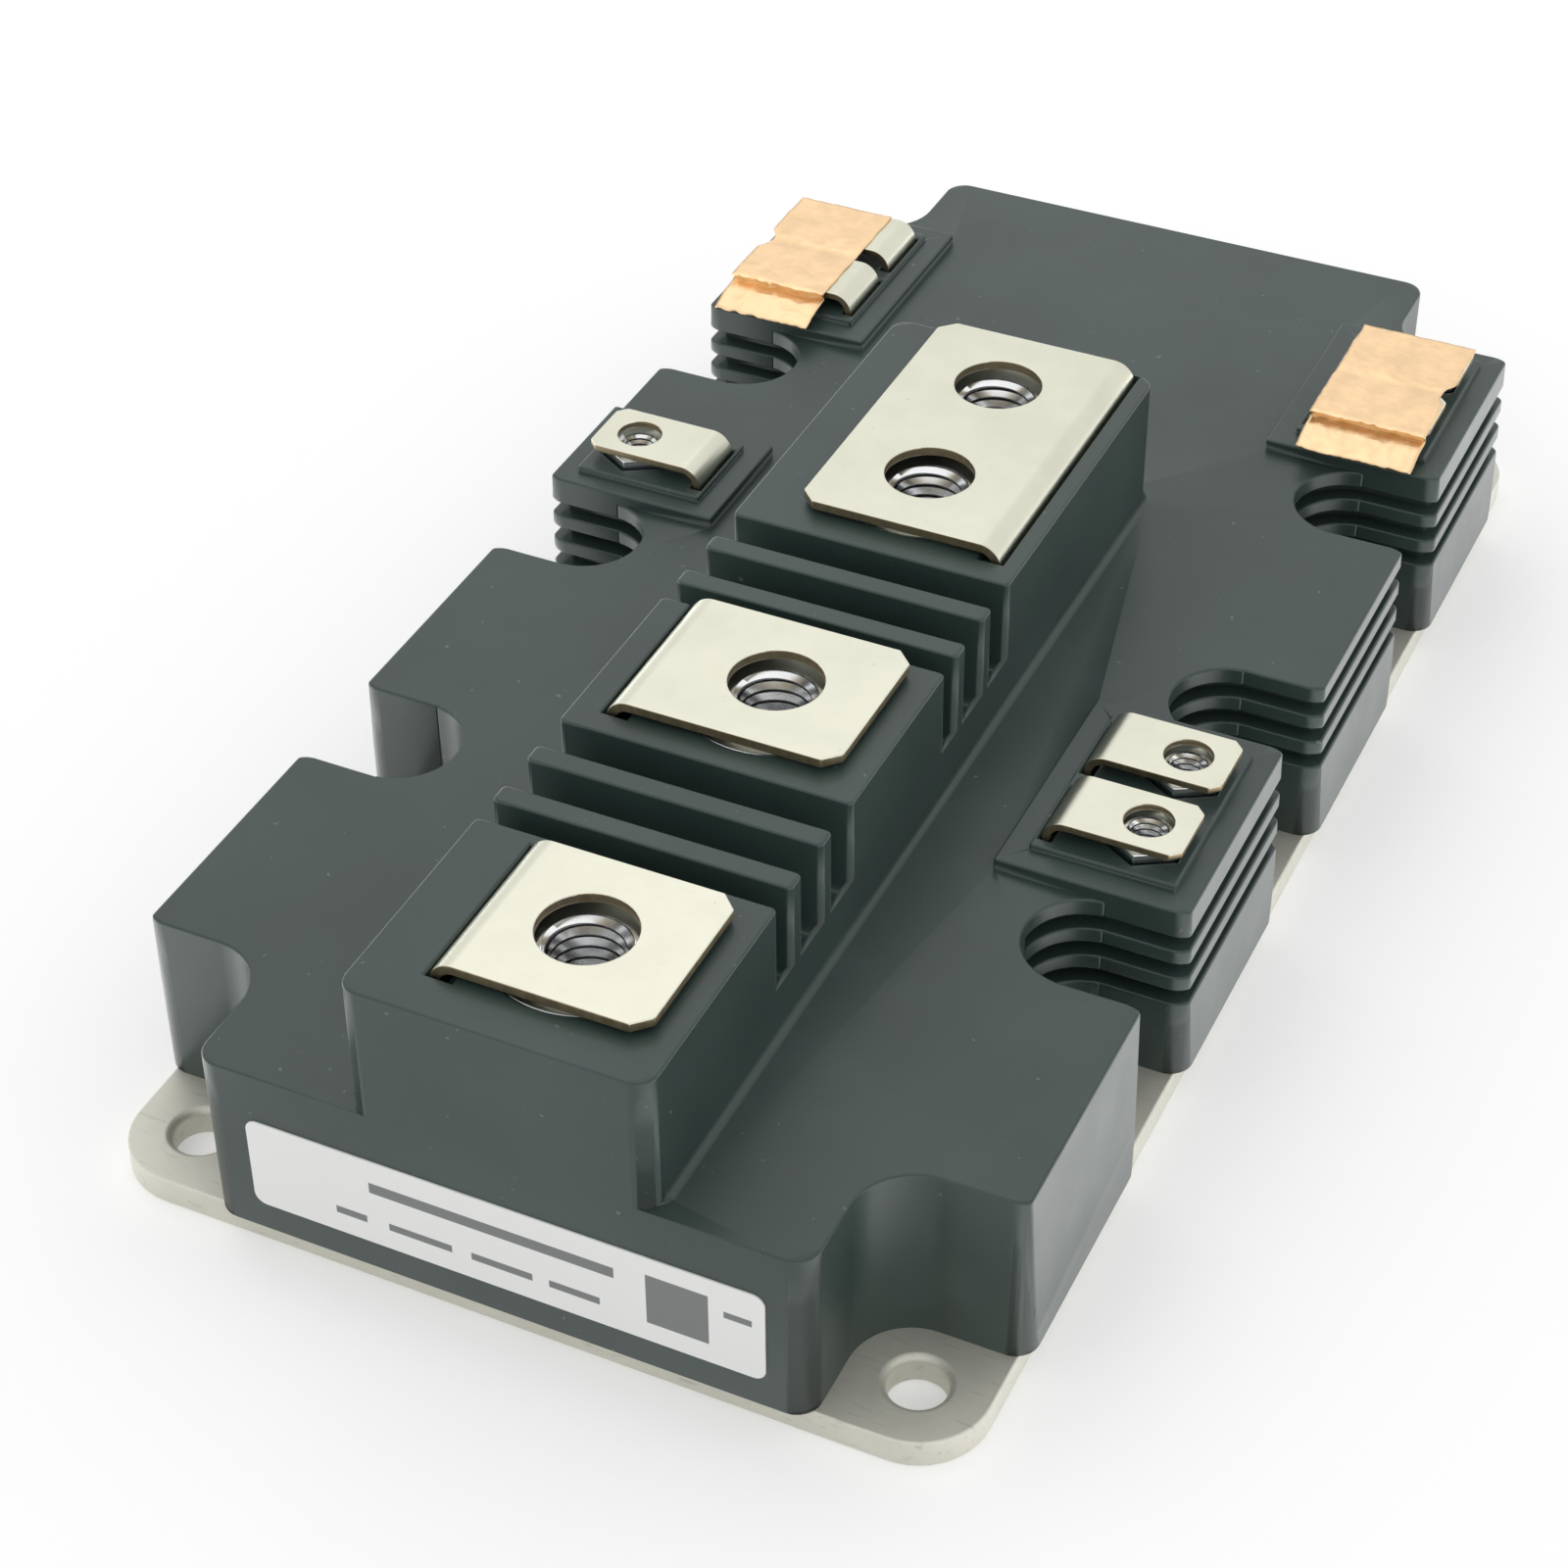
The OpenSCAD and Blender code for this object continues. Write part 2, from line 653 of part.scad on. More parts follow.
module middle_terminal() {
    main_terminal(mid_bus_x, mid_back + free_l, mid_y - main_margin, mid_y + main_margin,
        [bolts[1]], -1);
}

// The far terminal bends at the right, so it is drawn mirrored.
module far_terminal() {
    mirror([1, 0, 0])
        main_terminal(-far_bus_x, far_back + free_l, far_y - far_margin,
            far_y + far_pitch + far_margin, [for (i = [2, 3]) [-bolts[i][0], bolts[i][1]]], 1);
}

// One small terminal: tab, leg and a foot that turns inwards to its signal track.
module control_terminal(index) {
    side = aux_places[index - 1][0];
    y = aux_places[index - 1][1];
    reach = aux_back + aux_free_l;
    y0 = y - aux_w / 2;
    y1 = y + aux_w / 2;
    back = aux_x - aux_back;
    foot_end = signal_x + signal_w - aux_foot_l;
    color("#d8d2b4") mirror([side < 0 ? 1 : 0, 0, 0]) difference() {
        union() {
            translate([back, 0, 0])
                bent_sheet(reach, y0, y1, aux_top, track_z, aux_t, aux_outer_r);
            bar(foot_end, back + aux_t, y0, y1, track_z, track_z + aux_t);
        }
        translate([aux_x, y, pad_z]) cylinder(d = aux_hole_d, h = aux_top);
        free_corner_cuts(back + reach, y0, y1, aux_cut, aux_top);
    }
}

// Copper foil laid over two control terminals, folded down to the platform's edge.
module foil(width, side, outer_x) {
    fold_y = far_block_y - foil_fold;
    flap_y = fold_y - foil_flap;
    color("#d99a6c") mirror([side < 0 ? 1 : 0, 0, 0]) {
        x0 = outer_x - width;
        bar(x0, outer_x, fold_y, far_block_y + foil_far, aux_top, aux_top + foil_t);
        bar(x0, outer_x, fold_y, fold_y + foil_t, pad_z, aux_top + foil_t);
        bar(x0, outer_x, flap_y, fold_y + foil_t, pad_z, pad_z + foil_t);
    }
}

module left_foil() {
    foil(left_foil_w, -1, left_foil_x);
}

module right_foil() {
    foil(right_foil_w, 1, right_foil_x);
}

// Self-adhesive label on the front face.
module label() {
    color("white") translate([label_x, front_y, label_z]) rotate([90, 0, 0])
        linear_extrude(label_t)
            rounded_rect(-label_l / 2, -label_h / 2, label_l / 2, label_h / 2, label_r, label_r);
}

// Sheet that keeps the two supply busbars apart.
module busbar_insulator() {
    x = (mid_bus_x + main_t + near_bus_x - insulator_t) / 2;
    color("#e6dfc8")
        bar(x, x + insulator_t, substrate_y(1) - foot_w, substrate_y(substrate_n) + foot_w,
            bus_z, cavity_z);
}

// Ceramic plate that carries one third of the circuit.
module substrate(i) {
    color("#f1efe9") translate([-substrate_w / 2, substrate_y(i) - substrate_l / 2, plate_t])
        cube([substrate_w, substrate_l, ceramic_t]);
}

// Two signal tracks along the edges and three power tracks between them.
module copper_tracks(i) {
    color("#c9784b") {
        for (side = [-1, 1]) track(side * signal_x, side * (signal_x + signal_w), i);
        for (edges = [left_track, middle_track, right_track]) track(edges[0], edges[1], i);
    }
}

module track(x0, x1, i) {
    length = substrate_l - 2 * bare_margin;
    translate([min(x0, x1), substrate_y(i) - length / 2, ceramic_z])
        cube([abs(x1 - x0), length, track_t]);
}

// Two switch chips on the left track and two on the right one.
module igbt_chips(i) {
    color("#8d8f96") for (x = [middle(left_track), right_track[1] - igbt_side / 2 - bare_margin],
                          end = [-1, 1])
        chip(x, substrate_y(i) + end * chip_y, igbt_side);
}

// Two freewheeling diode chips on the middle track.
module diode_chips(i) {
    color("#74767d") for (end = [-1, 1])
        chip(middle(middle_track), substrate_y(i) + end * chip_y, diode_side);
}

module chip(x, y, side) {
    translate([x - side / 2, y - side / 2, track_z]) cube([side, side, chip_t]);
}

// Looped wires from each diode chip to the right track.
module bond_wires(i) {
    color("#cfd2d6") for (end = [-1, 1], n = [-1 : 1])
        bond_wire(substrate_y(i) + end * chip_y + n * wire_pitch);
}

module bond_wire(y) {
    gap_x = (middle(middle_track) + diode_side / 2 + right_track[0]) / 2;
    translate([gap_x, y, chip_z + wire_d / 2]) {
        rotate([90, 0, 0]) rotate_extrude(angle = 180)
            translate([wire_loop_r, 0]) circle(d = wire_d, $fn = 16);
        translate([-wire_loop_r, 0, -wire_d / 2]) cylinder(d = wire_d, h = wire_d / 2, $fn = 16);
        translate([wire_loop_r, 0, -chip_t - wire_d / 2])
            cylinder(d = wire_d, h = chip_t + wire_d / 2, $fn = 16);
    }
}

// Temperature sensor across two tracks of the first substrate.
module thermistor() {
    length = 2.8;
    width = 1.6;
    height = 0.9;
    color("#6b4a35")
        translate([power_x + track_gap / 2 - length / 2,
            substrate_y(1) - substrate_l / 2 + 2 * width, track_z])
            cube([length, width, height]);
}

// Silicone gel that covers the circuit up to the busbars.
module gel_fill() {
    cover_z = wire_z + wire_d;
    room = 0.2;
    first_y = substrate_y(1) - substrate_l / 2 - room;
    last_y = substrate_y(substrate_n) + substrate_l / 2 + room;
    half = substrate_w / 2 + room;
    color("#dfe6e6") difference() {
        translate([0, 0, plate_t]) linear_extrude(cover_z + gel_h - plate_t)
            outline(wall_t + room);
        bar(-half, half, first_y, last_y, plate_t - cut, cover_z);
        for (i = [1 : substrate_n], x = [near_bus_x, mid_bus_x, far_bus_x - main_t])
            bar(x - room, x + main_t + room, substrate_y(i) - foot_w / 2 - room,
                substrate_y(i) + foot_w / 2 + room, plate_t, deck_z);
        for (place = aux_places) mirror([place[0] < 0 ? 1 : 0, 0, 0])
            bar(signal_x, aux_x - aux_back + aux_t + room, place[1] - aux_w / 2 - room,
                place[1] + aux_w / 2 + room, plate_t - cut, deck_z);
    }
}

base_plate();
housing();
label();
near_terminal();
middle_terminal();
far_terminal();
m8_nuts();
m4_nuts();
control_terminal(1);  // control_terminal_1
control_terminal(2);  // control_terminal_2
control_terminal(3);  // control_terminal_3
control_terminal(4);  // control_terminal_4
control_terminal(5);  // control_terminal_5
control_terminal(6);  // control_terminal_6
control_terminal(7);  // control_terminal_7
left_foil();
right_foil();
busbar_insulator();
substrate(1);  // substrate_1
substrate(2);  // substrate_2
substrate(3);  // substrate_3
copper_tracks(1);  // copper_tracks_1
copper_tracks(2);  // copper_tracks_2
copper_tracks(3);  // copper_tracks_3
igbt_chips(1);  // igbt_chips_1
igbt_chips(2);  // igbt_chips_2
igbt_chips(3);  // igbt_chips_3
diode_chips(1);  // diode_chips_1
diode_chips(2);  // diode_chips_2
diode_chips(3);  // diode_chips_3
bond_wires(1);  // bond_wires_1
bond_wires(2);  // bond_wires_2
bond_wires(3);  // bond_wires_3
thermistor();
gel_fill();
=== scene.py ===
"""Dresses the power module: rounded mouldings, plated sheet, threaded nuts, creased foils and finishes.

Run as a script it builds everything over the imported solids. Lengths are in metres, in their frame.
"""
import math

import bmesh
import bpy
from bpy.props import FloatProperty, FloatVectorProperty, IntProperty, PointerProperty
from mathutils import Matrix, Vector, noise
from mathutils.geometry import delaunay_2d_cdt


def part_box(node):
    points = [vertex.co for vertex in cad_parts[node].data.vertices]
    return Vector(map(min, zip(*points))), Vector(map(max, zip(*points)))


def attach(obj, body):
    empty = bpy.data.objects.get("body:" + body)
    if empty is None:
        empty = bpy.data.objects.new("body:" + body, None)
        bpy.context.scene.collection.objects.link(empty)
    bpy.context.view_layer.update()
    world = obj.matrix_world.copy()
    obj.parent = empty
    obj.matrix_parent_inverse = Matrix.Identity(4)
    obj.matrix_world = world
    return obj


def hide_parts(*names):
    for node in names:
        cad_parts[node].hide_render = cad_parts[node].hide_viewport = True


bl_info = {
    "name": "Power Module Dresser",
    "version": (1, 0, 0),
    "blender": (4, 5, 0),
    "location": "3D View > Sidebar > Power Module",
    "description": "Gives the solids of a power module their edges, threads, foils and finishes",
    "category": "Object",
}

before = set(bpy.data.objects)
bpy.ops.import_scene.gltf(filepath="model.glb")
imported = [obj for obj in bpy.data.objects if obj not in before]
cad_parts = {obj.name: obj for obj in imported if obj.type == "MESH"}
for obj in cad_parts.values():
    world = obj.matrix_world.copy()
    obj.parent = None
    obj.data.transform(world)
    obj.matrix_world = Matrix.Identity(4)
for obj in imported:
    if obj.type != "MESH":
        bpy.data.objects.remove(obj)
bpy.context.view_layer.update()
MM = 0.001
BODY = "root"
MAIN_TERMINALS = ("near_terminal", "middle_terminal", "far_terminal")
CONTROL_TERMINALS = tuple(f"control_terminal_{i}" for i in range(1, 8))

# Limits for reading the solids' meshes
SAME_POINT = 0.001 * MM
ON_PLANE = 0.002 * MM
FOOT_EDGE = 0.01 * MM
SAME_FACE = math.radians(0.5)
SAME_PLANE = math.radians(1)
SHARP_TURN = math.radians(30)
SHARP_SHADING = math.radians(50)
FILL_INSIDE = 1
FILL_LIMIT = 0.00001
EDGE_STEPS = 2

# Layer that the Weighted Normal modifier reads, and the faces that lead the shading
FACE_STRENGTH = "__mod_weightednormals_faceweight"
STRONG = 16384
BROAD = 30 * MM * MM

# One turn of a thread: share of the pitch, and share of the depth; and the steps, the roots and crests,
# that get painted shade
THREAD_STEPS = ((0.0, 1.0), (0.0625, 1.0), (0.375, 0.0), (0.625, 0.0), (0.9375, 1.0))
PAINTED_SHADE_STEPS = (0, 2, 4)

# The foils' fold, in millimetres past the fold's line and below the top
FLAP_LENGTH = 4.6 * MM
FOLD_STEPS = ((0.3, 0.0), (0.0, 0.1), (0.25, 0.3), (0.55, 0.7), (0.1, 1.0), (-1.2, 1.12), (-3.0, 1.5))
FLAP_START = 3
FOIL_END = 0.08 * MM
NOTCH_Y = 57.3 * MM
NOTCH_HALF = 1.7 * MM
SAG_HALF = 1.2 * MM
FOIL_COLUMNS = 36
FOIL_ROWS = 90

# Plain fields on the label, in millimetres: left, right, bottom, top
SOFT_EDGE = 0.06 * MM
LABEL_FIELDS = (
    (-12.6, 11.5, 12.7, 13.9), (-16.3, -13.2, 8.7, 9.5), (-10.9, -4.6, 8.7, 9.5),
    (-2.6, 3.4, 8.7, 9.5), (5.1, 10.0, 8.7, 9.5), (14.6, 20.5, 8.6, 14.5), (22.0, 24.6, 12.6, 13.3))


# Settings

def length(name, description, default):
    return FloatProperty(name=name, description=description, default=default, min=0.0, precision=6,
                         unit="LENGTH")


def colour(name, description, default):
    return FloatVectorProperty(name=name, description=description, default=default, min=0.0,
                               max=1.0, subtype="COLOR")


def share(name, description, default):
    return FloatProperty(name=name, description=description, default=default, min=0.0, max=1.0,
                         subtype="FACTOR")


class HousingSettings(bpy.types.PropertyGroup):
    """Edges and surface of the moulded housing."""

    edge_radius: length("Edge Radius", "Radius of the moulded edges", 0.28 * MM)
    plastic: colour("Plastic", "Colour of the moulding", (0.036, 0.059, 0.053))
    plastic_roughness: share("Roughness", "Roughness of the moulded surface", 0.34)
    grain: length("Grain", "Size of the moulded grain", 0.22 * MM)
    grain_depth: length("Grain Depth", "Depth of the moulded grain", 0.006 * MM)
    clouds: length("Clouds", "Size of the soft colour changes", 18 * MM)
    dust: length("Dust", "Size of the specks of dust", 0.9 * MM)
    dust_strength: share("Dust Strength", "How pale the specks are", 0.35)
    dust_colour: colour("Dust Colour", "Colour of the dust", (0.30, 0.34, 0.33))


class SheetSettings(bpy.types.PropertyGroup):
    """Edges and plating of the terminals and the base plate."""

    edge_radius: length("Edge Radius", "Radius of the punched edges", 0.12 * MM)
    plate_edge_radius: length("Plate Edge Radius", "Radius of the base plate's edges", 0.25 * MM)
    nickel: colour("Nickel", "Colour of the plated terminals", (0.70, 0.695, 0.58))
    cut_edge: colour("Cut Edge", "Colour of the punched edges", (0.33, 0.27, 0.17))
    plate: colour("Base Plate", "Colour of the plated base plate", (0.70, 0.69, 0.61))
    nickel_roughness: share("Roughness", "Roughness of the plating", 0.30)
    plate_roughness: share("Base Plate Roughness", "Roughness of the base plate", 0.55)
    plate_scuffs: share("Scuffs", "How dark the base plate's scuffs are", 0.35)
    plate_metal: share("Base Plate Metal", "How metallic the base plate looks", 0.65)
    main_thickness: length("Main Thickness", "Thickness of the main terminals", 1.0 * MM)
    control_thickness: length("Control Thickness", "Thickness of the control terminals", 0.8 * MM)
    clouds: length("Clouds", "Size of the soft colour changes", 7 * MM)
    stains: length("Stains", "Size of the stains", 1.3 * MM)
    stain_colour: colour("Stain Colour", "Colour of the stains", (0.30, 0.24, 0.15))


class NutSettings(bpy.types.PropertyGroup):
    """Threads and finish of the nuts."""

    main_pitch: length("Main Pitch", "Thread pitch of the main nuts", 1.25 * MM)
    small_pitch: length("Small Pitch", "Thread pitch of the small nuts", 0.7 * MM)
    sides: IntProperty(name="Sides", description="Steps of the thread round its axis",
                       default=64, min=12, max=128)
    zinc: colour("Zinc", "Colour of the plated nuts", (0.93, 0.94, 0.95))
    # Painted shade: brightness of the darker zinc copy on the threads' roots and crests
    painted_thread_shade: share("Painted Thread Shade", "Brightness of the threads' shaded steps", 0.3)
    edge_radius: length("Edge Radius", "Radius of the nuts' edges", 0.15 * MM)
    main_r: length("Main Radius", "Nominal radius of the main threads", 4.0 * MM)
    main_crest_r: length("Main Crest Radius", "Radius of the main threads' crests", 3.4 * MM)
    small_r: length("Small Radius", "Nominal radius of the small threads", 2.0 * MM)
    small_crest_r: length("Small Crest Radius", "Radius of the small threads' crests", 1.65 * MM)


class FoilSettings(bpy.types.PropertyGroup):
    """Creases and colour of the copper foils."""

    crease: length("Crease Height", "Height of the creases in the foils", 0.22 * MM)
    thickness: length("Thickness", "Thickness of the foils", 0.15 * MM)
    overlap: length("Overlap", "How far the laid foils spread past their flat blank", 1.0 * MM)
    notch: length("Notch", "Depth of the notch between the two tabs", 0.9 * MM)
    sag: length("Sag", "How far the foil sags between the two tabs", 0.15 * MM)
    end_wave: length("End Wave", "Unevenness of the flap's end", 0.3 * MM)
    side_wave: length("Side Wave", "Unevenness of the foil's sides", 0.12 * MM)
    copper: colour("Copper", "Colour of the copper foil", (0.90, 0.64, 0.38))


class LabelSettings(bpy.types.PropertyGroup):
    """Film of the label."""

    film: colour("Film", "Colour of the label's film", (0.97, 0.98, 0.96))
    ink: colour("Ink", "Colour of the printed fields", (0.13, 0.14, 0.14))


class StageSettings(bpy.types.PropertyGroup):
    """Camera, floor and light."""

    focal_length: FloatProperty(name="Focal Length", description="Focal length in millimetres",
                                default=78.303, min=1.0)
    distance: length("Distance", "Distance from the camera to its target", 0.339823)
    target: FloatVectorProperty(name="Target", description="Point that the camera looks at",
                                default=(-0.002575, -0.021874, 0.015), subtype="TRANSLATION")
    azimuth: FloatProperty(name="Azimuth", description="Turn of the camera to the right",
                           default=math.radians(25.467), subtype="ANGLE")
    elevation: FloatProperty(name="Elevation", description="Height of the camera",
                             default=math.radians(38.974), subtype="ANGLE")
    roll: FloatProperty(name="Roll", description="Roll of the camera",
                        default=math.radians(-0.467), subtype="ANGLE")
    floor_size: length("Floor Size", "Width of the floor", 6.0)
    floor_drop: length("Floor Drop", "Gap between the floor and the part", 0.02 * MM)
    floor_colour: colour("Floor Colour", "Colour of the floor", (0.88, 0.88, 0.88))
    floor_glow: share("Floor Glow", "How far the seen floor is lifted to white", 0.27)
    side_glow: FloatProperty(name="Side Glow", description="Brightness mirrored beside the part",
                             default=1.15, min=0.0)
    glow_start: length("Glow Start", "Distance to the side at which the glow starts", 0.035)
    glow_full: length("Glow Full", "Distance to the side at which the glow is full", 0.06)
    sky: FloatProperty(name="Sky", description="Light of the surroundings", default=0.80, min=0.0)
    key_power: FloatProperty(name="Key Power", description="Power of the soft lamp in watts",
                             default=1.6, min=0.0)
    key_width: length("Key Width", "Width of the soft lamp", 1.2)
    key_depth: length("Key Depth", "Depth of the soft lamp", 0.9)
    key_place: FloatVectorProperty(name="Key Place", description="Place of the soft lamp",
                                   default=(-0.55, 0.55, 1.25), subtype="TRANSLATION")


SETTINGS = {
    "housing": HousingSettings,
    "sheet": SheetSettings,
    "nuts": NutSettings,
    "foils": FoilSettings,
    "label": LabelSettings,
    "stage": StageSettings,
}


def settings(group):
    return getattr(bpy.context.scene, f"power_module_{group}")


# Materials

class Signal:
    """A value in a material. Python's operators on it add Math nodes."""

    def __init__(self, graph, socket):
        self.graph = graph
        self.socket = socket

    def math(self, operation, first, second=0.0):
        return self.graph.node("ShaderNodeMath", {"operation": operation}, {0: first, 1: second})

    def __abs__(self):
        return self.math("ABSOLUTE", self)

    def __add__(self, other):
        return self.math("ADD", self, other)

    def __sub__(self, other):
        return self.math("SUBTRACT", self, other)

    def __rsub__(self, other):
        return self.math("SUBTRACT", other, self)

    def __mul__(self, other):
        return self.math("MULTIPLY", self, other)

    __radd__ = __add__
    __rmul__ = __mul__

    def maximum(self, other):
        return self.math("MAXIMUM", self, other)

    def between(self, low, high):
        """0 below low, 1 above high, and smooth between them."""
        return self.graph.node("ShaderNodeMapRange", {"interpolation_type": "SMOOTHSTEP"},
                               {"Value": self, "From Min": low, "From Max": high})


class Graph:
    """A node tree under construction."""

    def __init__(self, tree):
        self.tree = tree
        tree.nodes.clear()

    def node(self, kind, settings=None, inputs=None, output=0):
        """Adds a node with its settings, then its sockets' values or links."""
        made = self.tree.nodes.new(kind)
        for key, value in (settings or {}).items():
            setattr(made, key, value)
        for key, value in (inputs or {}).items():
            self.feed(made.inputs[key], value)
        return Signal(self, made.outputs[output])

    def feed(self, socket, value):
        if isinstance(value, Signal):
            self.tree.links.new(value.socket, socket)
        elif socket.type == "RGBA" and len(value) == 3:
            socket.default_value = (*value, 1.0)
        else:
            socket.default_value = value

    def seen_rays(self):
        """1 for rays from the camera, and for those that a mirror or glass sends on."""
        camera, glossy, transmission = (
            self.node("ShaderNodeLightPath", output=ray)
            for ray in ("Is Camera Ray", "Is Glossy Ray", "Is Transmission Ray"))
        return camera.maximum(glossy).maximum(transmission)


class Finish(Graph):
    """A material under construction, on one Principled shader."""

    def __init__(self, name, **fixed):
        self.material = bpy.data.materials.new(name)
        self.material.use_nodes = True
        super().__init__(self.material.node_tree)
        self.shader = self.tree.nodes.new("ShaderNodeBsdfPrincipled")
        output = self.tree.nodes.new("ShaderNodeOutputMaterial")
        self.tree.links.new(self.shader.outputs[0], output.inputs["Surface"])
        self.place = self.node("ShaderNodeTexCoord", output="Object")
        for socket, value in fixed.items():
            self.set(socket.replace("_", " "), value)

    def set(self, socket, value):
        self.feed(self.shader.inputs[socket], value)

    def noise(self, size, detail=2.0, roughness=0.5, place=None, **more):
        """Noise from 0 to 1 whose features are about size across."""
        inputs = {"Vector": place or self.place, "Scale": 1 / size, "Detail": detail,
                  "Roughness": roughness, **more}
        return self.node("ShaderNodeTexNoise", {"noise_dimensions": "3D"}, inputs, "Fac")

    def stretched(self, scale, turn=(0.0, 0.0, 0.0)):
        return self.node("ShaderNodeMapping", None,
                         {"Vector": self.place, "Rotation": turn, "Scale": scale})

    def mix(self, factor, first, second):
        """A colour from first to second."""
        return self.node("ShaderNodeMix", {"data_type": "RGBA"},
                         {"Factor": factor, 6: first, 7: second}, 2)

    def bump(self, height, depth):
        self.set("Normal", self.node("ShaderNodeBump", None,
                                     {"Height": height, "Distance": depth, "Strength": 1.0},
                                     "Normal"))


def tint(rgb, factor):
    return tuple(min(1.0, channel * factor) for channel in rgb)


def moulded_plastic():
    chosen = settings("housing")
    finish = Finish("housing_plastic", IOR=1.5)
    clouds = finish.noise(chosen.clouds, 4.0)
    dust = finish.noise(chosen.dust, 1.0).between(0.77, 0.82)
    body = finish.mix(clouds.between(0.3, 0.7), tint(chosen.plastic, 0.88), tint(chosen.plastic, 1.12))
    finish.set("Base Color", finish.mix(dust * chosen.dust_strength, body, chosen.dust_colour))
    rubbed = finish.noise(6 * MM, 3.0)
    finish.set("Roughness", rubbed * 0.12 + (chosen.plastic_roughness - 0.06))
    finish.bump(finish.noise(chosen.grain, 2.0), chosen.grain_depth)
    return finish.material


def plated(name, base, roughness, worn=0.0, metallic=1.0):
    """Nickel plating: cloudy, faintly rippled, with small stains and rubbed streaks."""
    chosen = settings("sheet")
    finish = Finish(name, Metallic=metallic)
    clouds = finish.noise(chosen.clouds, 4.0, 0.6)
    metal = finish.mix(clouds.between(0.25, 0.75), tint(base, 0.95), tint(base, 1.03))
    stains = finish.noise(chosen.stains, 3.0, 0.6).between(0.70, 0.78)
    streaks = finish.noise(1.0 * MM, 3.0, 0.6, finish.stretched((0.25, 2.2, 1.0), (0.0, 0.0, 0.5)))
    scratches = streaks.between(0.58, 0.72)
    metal = finish.mix(stains * 0.30, metal, chosen.stain_colour)
    if worn:
        metal = finish.mix(scratches * worn, metal, tint(base, 0.55))
    finish.set("Base Color", metal)
    finish.set("Roughness", clouds * 0.10 + scratches * 0.10 + (roughness - 0.05))
    finish.bump(finish.noise(0.35 * MM, 2.0), 0.002 * MM)
    return finish.material


def punched_edge():
    finish = Finish("terminal_cut_edge", Metallic=1.0)
    grain = finish.noise(0.5 * MM, 3.0, 0.6, finish.stretched((1.0, 1.0, 0.3)))
    base = settings("sheet").cut_edge
    finish.set("Base Color", finish.mix(grain, tint(base, 0.7), tint(base, 1.3)))
    finish.set("Roughness", grain * 0.2 + 0.35)
    finish.bump(grain, 0.01 * MM)
    return finish.material


def zinc_plate(name, base):
    finish = Finish(name, Metallic=1.0)
    clouds = finish.noise(2 * MM, 3.0)
    finish.set("Base Color", finish.mix(clouds, tint(base, 0.9), tint(base, 1.05)))
    finish.set("Roughness", clouds * 0.08 + 0.12)
    return finish.material


def copper():
    finish = Finish("copper_foil", Metallic=1.0)
    base = settings("foils").copper
    clouds = finish.noise(3 * MM, 4.0, 0.6)
    lines = finish.noise(0.6 * MM, 3.0, 0.6, finish.stretched((0.3, 2.5, 1.0)))
    finish.set("Base Color", finish.mix(clouds.between(0.3, 0.7), tint(base, 0.92), tint(base, 1.06)))
    finish.set("Roughness", clouds * 0.15 + 0.28)
    finish.bump(lines + clouds * 0.5, 0.03 * MM)
    return finish.material


def plain(name, base, spread, size, roughness, **fixed):
    """A simple mottled finish for a piece that is seen little or not at all."""
    finish = Finish(name, **fixed)
    clouds = finish.noise(size, 3.0)
    finish.set("Base Color", finish.mix(clouds, tint(base, 1 - spread), tint(base, 1 + spread)))
    finish.set("Roughness", clouds * 0.1 + (roughness - 0.05))
    return finish.material


def printed_film():
    """White film with plain dark fields where the print would be."""
    finish = Finish("label_film")
    chosen = settings("label")
    across, _, up = (finish.node("ShaderNodeSeparateXYZ", None, {"Vector": finish.place}, axis)
                     for axis in "XYZ")
    ink = 0.0
    for field in LABEL_FIELDS:
        left, right, bottom, top = (side * MM for side in field)
        wide = across.between(left - SOFT_EDGE, left) - across.between(right, right + SOFT_EDGE)
        high = up.between(bottom - SOFT_EDGE, bottom) - up.between(top, top + SOFT_EDGE)
        ink = wide * high + ink
    clouds = finish.noise(4 * MM, 3.0)
    film = finish.mix(clouds, tint(chosen.film, 0.97), tint(chosen.film, 1.0))
    finish.set("Base Color", finish.mix(ink * 0.9, film, chosen.ink))
    finish.set("Roughness", clouds * 0.1 + 0.4)
    return finish.material


# Meshes

def whole_faces(node):
    """A copy of a solid's mesh in which each flat face is whole."""
    bm = bmesh.new()
    bm.from_mesh(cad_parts[node].data)
    bmesh.ops.remove_doubles(bm, verts=bm.verts, dist=SAME_POINT)
    bmesh.ops.dissolve_limit(bm, angle_limit=SAME_FACE, use_dissolve_boundaries=False,
                             verts=bm.verts, edges=bm.edges)
    for face in bm.faces:
        face.material_index = 0
    return bm


def sharp_edges(bm):
    return [edge for edge in bm.edges
            if len(edge.link_faces) == 2 and edge.calc_face_angle() > SHARP_TURN]


def round_edges(bm, radius, chosen=None):
    """Rounds the sharp edges of a mesh, or those that are chosen."""
    edges = sharp_edges(bm) if chosen is None else chosen
    strength = bm.faces.layers.int.new(FACE_STRENGTH)
    for face in bm.faces:
        if face.calc_area() > BROAD:
            face[strength] = STRONG
    made = bmesh.ops.bevel(bm, geom=edges, offset=radius, offset_type="OFFSET", segments=EDGE_STEPS,
                           profile=0.5, affect="EDGES", clamp_overlap=False)
    for face in made["faces"]:
        face[strength] = 0


